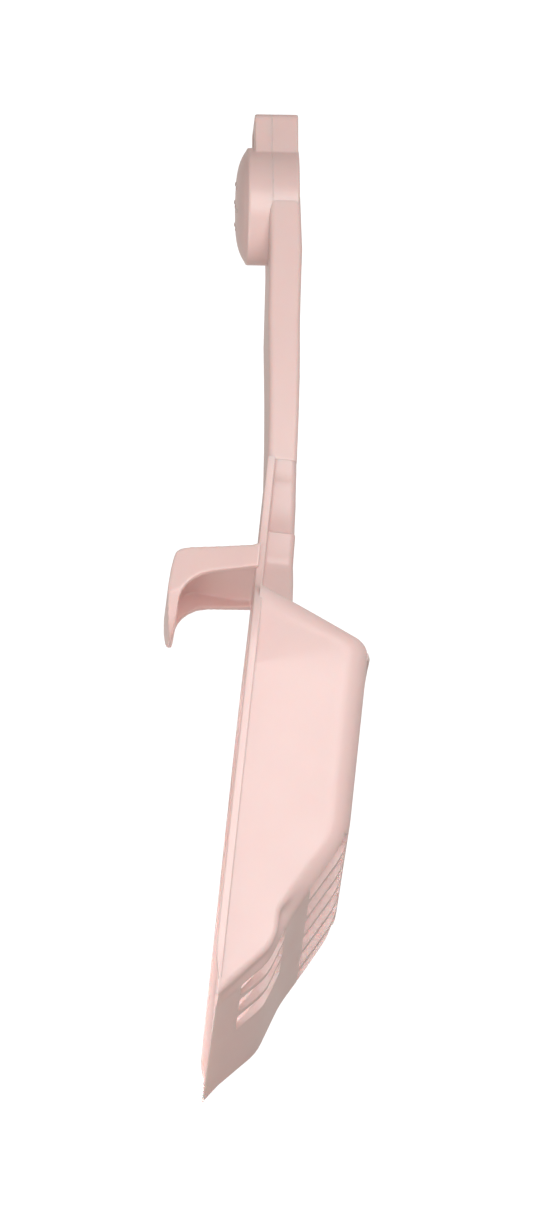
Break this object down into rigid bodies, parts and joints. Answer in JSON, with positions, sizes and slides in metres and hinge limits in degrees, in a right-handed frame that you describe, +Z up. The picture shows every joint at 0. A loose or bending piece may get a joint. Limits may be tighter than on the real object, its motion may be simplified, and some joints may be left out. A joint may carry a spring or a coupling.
{
  "type": "sifting litter scoop",
  "caption": "Plastic sifting scoop: a deep open bowl with a slotted sloping floor, a channel handle with a round head and hanging tab, and a hook that hangs on a box's rim.",
  "frame": {"origin": "middle of the flat underside of the rim hook, where the rim of a box or tray carries the scoop", "axes": "+Z up along the handle; -Y the side the bowl opens to and the hook stands out of; +Y behind the bowl; +X the half of the nose that has the small slots"},
  "size_m": [0.11, 0.0596, 0.2831],
  "materials": {
    "pink_plastic": "satin moulded polypropylene"
  },
  "bodies": {
    "root": {"bowl_shell": "pink_plastic", "cross_band": "pink_plastic", "handle_grip": "pink_plastic", "handle_head": "pink_plastic", "head_cap": "pink_plastic", "heel_ridge": "pink_plastic", "neck_collar": "pink_plastic", "neck_flare": "pink_plastic", "neck_waist": "pink_plastic", "nose_grille": "pink_plastic", "nose_lip": "pink_plastic", "rim_flange": "pink_plastic", "rim_hook": "pink_plastic", "sieve_bar_1": "pink_plastic", "sieve_bar_2": "pink_plastic", "sieve_bar_3": "pink_plastic", "sieve_bar_4": "pink_plastic", "sieve_bar_5": "pink_plastic"}
  },
  "joints": []
}
